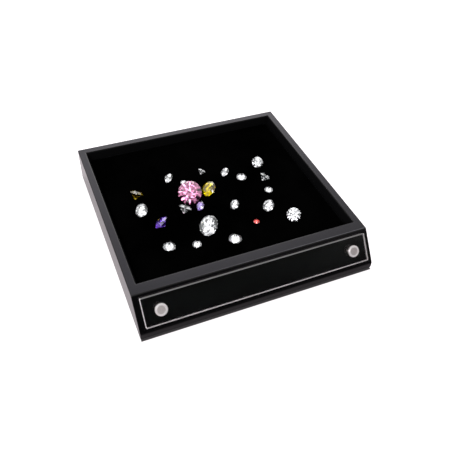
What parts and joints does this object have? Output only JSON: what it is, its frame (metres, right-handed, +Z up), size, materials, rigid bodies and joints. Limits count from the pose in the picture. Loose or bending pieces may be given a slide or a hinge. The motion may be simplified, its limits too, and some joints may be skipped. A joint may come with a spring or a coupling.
{
  "type": "specimen display tray",
  "caption": "Open lacquered display tray with a sloped front, a clear name plate on cap screws, a lift-out padded velvet insert and loose cut stones.",
  "frame": {"origin": "middle of the footprint, on the surface that the feet stand on", "axes": "+X to the tray's right seen from the sloped front, +Y to the back, +Z up"},
  "size_m": [0.2, 0.2003, 0.0389],
  "materials": {
    "black_lacquer": "black piano lacquer on fibreboard, rim rubbed to satin",
    "black_velvet": "short-pile black velvet",
    "pad_foam": "soft grey foam",
    "fibreboard": "raw fibreboard",
    "beech": "planed beech",
    "clear_acrylic": "clear cast acrylic with polished edges",
    "black_card": "blank black card",
    "turned_steel": "turned face, polished chamfer",
    "zinc_steel": "zinc plated",
    "brass": "turned brass",
    "nylon": "natural nylon",
    "black_rubber": "moulded rubber",
    "clear_crystal": "polished facets",
    "pink_crystal": "polished facets",
    "amber_crystal": "polished facets",
    "lavender_crystal": "polished facets",
    "violet_crystal": "polished facets",
    "red_crystal": "polished facets"
  },
  "bodies": {
    "tray": {"front_moulding": "black_lacquer", "left_side": "black_lacquer", "right_side": "black_lacquer", "back_board": "black_lacquer", "corner_dowels": "beech", "base_panel": "fibreboard", "base_screws": "zinc_steel", "feet": "black_rubber", "left_ledge": "fibreboard", "right_ledge": "fibreboard", "front_ledge": "fibreboard", "back_ledge": "fibreboard", "left_lining": "black_velvet", "right_lining": "black_velvet", "front_lining": "black_velvet", "back_lining": "black_velvet", "left_insert": "brass", "right_insert": "brass"},
    "display_pad": {"insert_board": "fibreboard", "pad_foam": "pad_foam", "velvet_cover": "black_velvet"},
    "front_plate": {"name_plate": "clear_acrylic", "label_card": "black_card"},
    "left_washer": {"left_washer": "nylon"},
    "right_washer": {"right_washer": "nylon"},
    "left_cap_screw": {"left_cap_screw": "turned_steel"},
    "right_cap_screw": {"right_cap_screw": "turned_steel"},
    "clear_stone_01": {"clear_stone_01": "clear_crystal"},
    "clear_stone_02": {"clear_stone_02": "clear_crystal"},
    "clear_stone_03": {"clear_stone_03": "clear_crystal"},
    "clear_stone_04": {"clear_stone_04": "clear_crystal"},
    "clear_stone_05": {"clear_stone_05": "clear_crystal"},
    "clear_stone_06": {"clear_stone_06": "clear_crystal"},
    "clear_stone_07": {"clear_stone_07": "clear_crystal"},
    "clear_stone_08": {"clear_stone_08": "clear_crystal"},
    "clear_stone_09": {"clear_stone_09": "clear_crystal"},
    "clear_stone_10": {"clear_stone_10": "clear_crystal"},
    "clear_stone_11": {"clear_stone_11": "clear_crystal"},
    "clear_stone_12": {"clear_stone_12": "clear_crystal"},
    "clear_stone_13": {"clear_stone_13": "clear_crystal"},
    "clear_stone_14": {"clear_stone_14": "clear_crystal"},
    "clear_stone_15": {"clear_stone_15": "clear_crystal"},
    "clear_stone_16": {"clear_stone_16": "clear_crystal"},
    "large_clear_stone": {"large_clear_stone": "clear_crystal"},
    "pink_stone": {"pink_stone": "pink_crystal"},
    "amber_stone": {"amber_stone": "amber_crystal"},
    "lavender_stone": {"lavender_stone": "lavender_crystal"},
    "honey_stone": {"honey_stone": "amber_crystal"},
    "violet_stone": {"violet_stone": "violet_crystal"},
    "red_stone": {"red_stone": "red_crystal"}
  },
  "joints": [
    {"name": "pad_lift", "type": "slide", "parent": "tray", "child": "display_pad", "axis": [0, 0, 1], "range_m": [0, 0.04]},
    {"name": "plate_off", "type": "slide", "parent": "tray", "child": "front_plate", "axis": [0, -0.788, 0.6157], "range_m": [0, 0.025]},
    {"name": "left_screw_advance", "type": "slide", "parent": "front_plate", "child": "left_washer", "axis": [0, -0.788, 0.6157], "range_m": [0, 0.0063]},
    {"name": "left_screw_turn", "type": "hinge", "parent": "left_washer", "child": "left_cap_screw", "pos_m": [-0.0815, -0.09347, 0.02182], "axis": [0, -0.788, 0.6157], "continuous": true},
    {"name": "right_screw_advance", "type": "slide", "parent": "front_plate", "child": "right_washer", "axis": [0, -0.788, 0.6157], "range_m": [0, 0.0063]},
    {"name": "right_screw_turn", "type": "hinge", "parent": "right_washer", "child": "right_cap_screw", "pos_m": [0.0815, -0.09347, 0.02182], "axis": [0, -0.788, 0.6157], "continuous": true},
    {"name": "clear_stone_01_lift", "type": "slide", "parent": "display_pad", "child": "clear_stone_01", "axis": [0, 0, 1], "range_m": [0, 0.03]},
    {"name": "clear_stone_02_lift", "type": "slide", "parent": "display_pad", "child": "clear_stone_02", "axis": [0, 0, 1], "range_m": [0, 0.03]},
    {"name": "clear_stone_03_lift", "type": "slide", "parent": "display_pad", "child": "clear_stone_03", "axis": [0, 0, 1], "range_m": [0, 0.03]},
    {"name": "clear_stone_04_lift", "type": "slide", "parent": "display_pad", "child": "clear_stone_04", "axis": [0, 0, 1], "range_m": [0, 0.03]},
    {"name": "clear_stone_05_lift", "type": "slide", "parent": "display_pad", "child": "clear_stone_05", "axis": [0, 0, 1], "range_m": [0, 0.03]},
    {"name": "clear_stone_06_lift", "type": "slide", "parent": "display_pad", "child": "clear_stone_06", "axis": [0, 0, 1], "range_m": [0, 0.03]},
    {"name": "clear_stone_07_lift", "type": "slide", "parent": "display_pad", "child": "clear_stone_07", "axis": [0, 0, 1], "range_m": [0, 0.03]},
    {"name": "clear_stone_08_lift", "type": "slide", "parent": "display_pad", "child": "clear_stone_08", "axis": [0, 0, 1], "range_m": [0, 0.03]},
    {"name": "clear_stone_09_lift", "type": "slide", "parent": "display_pad", "child": "clear_stone_09", "axis": [0, 0, 1], "range_m": [0, 0.03]},
    {"name": "clear_stone_10_lift", "type": "slide", "parent": "display_pad", "child": "clear_stone_10", "axis": [0, 0, 1], "range_m": [0, 0.03]},
    {"name": "clear_stone_11_lift", "type": "slide", "parent": "display_pad", "child": "clear_stone_11", "axis": [0, 0, 1], "range_m": [0, 0.03]},
    {"name": "clear_stone_12_lift", "type": "slide", "parent": "display_pad", "child": "clear_stone_12", "axis": [0, 0, 1], "range_m": [0, 0.03]},
    {"name": "clear_stone_13_lift", "type": "slide", "parent": "display_pad", "child": "clear_stone_13", "axis": [0, 0, 1], "range_m": [0, 0.03]},
    {"name": "clear_stone_14_lift", "type": "slide", "parent": "display_pad", "child": "clear_stone_14", "axis": [0, 0, 1], "range_m": [0, 0.03]},
    {"name": "clear_stone_15_lift", "type": "slide", "parent": "display_pad", "child": "clear_stone_15", "axis": [0, 0, 1], "range_m": [0, 0.03]},
    {"name": "clear_stone_16_lift", "type": "slide", "parent": "display_pad", "child": "clear_stone_16", "axis": [0, 0, 1], "range_m": [0, 0.03]},
    {"name": "large_clear_stone_lift", "type": "slide", "parent": "display_pad", "child": "large_clear_stone", "axis": [0, 0, 1], "range_m": [0, 0.03]},
    {"name": "pink_stone_lift", "type": "slide", "parent": "display_pad", "child": "pink_stone", "axis": [0, 0, 1], "range_m": [0, 0.03]},
    {"name": "amber_stone_lift", "type": "slide", "parent": "display_pad", "child": "amber_stone", "axis": [0, 0, 1], "range_m": [0, 0.03]},
    {"name": "lavender_stone_lift", "type": "slide", "parent": "display_pad", "child": "lavender_stone", "axis": [0, 0, 1], "range_m": [0, 0.03]},
    {"name": "honey_stone_lift", "type": "slide", "parent": "display_pad", "child": "honey_stone", "axis": [0, 0, 1], "range_m": [0, 0.03]},
    {"name": "violet_stone_lift", "type": "slide", "parent": "display_pad", "child": "violet_stone", "axis": [0, 0, 1], "range_m": [0, 0.03]},
    {"name": "red_stone_lift", "type": "slide", "parent": "display_pad", "child": "red_stone", "axis": [0, 0, 1], "range_m": [0, 0.03]}
  ],
  "couplings": [
    {"joint": "left_screw_turn", "follows": "left_screw_advance", "rad_per_m": 8976},
    {"joint": "right_screw_turn", "follows": "right_screw_advance", "rad_per_m": 8976}
  ]
}
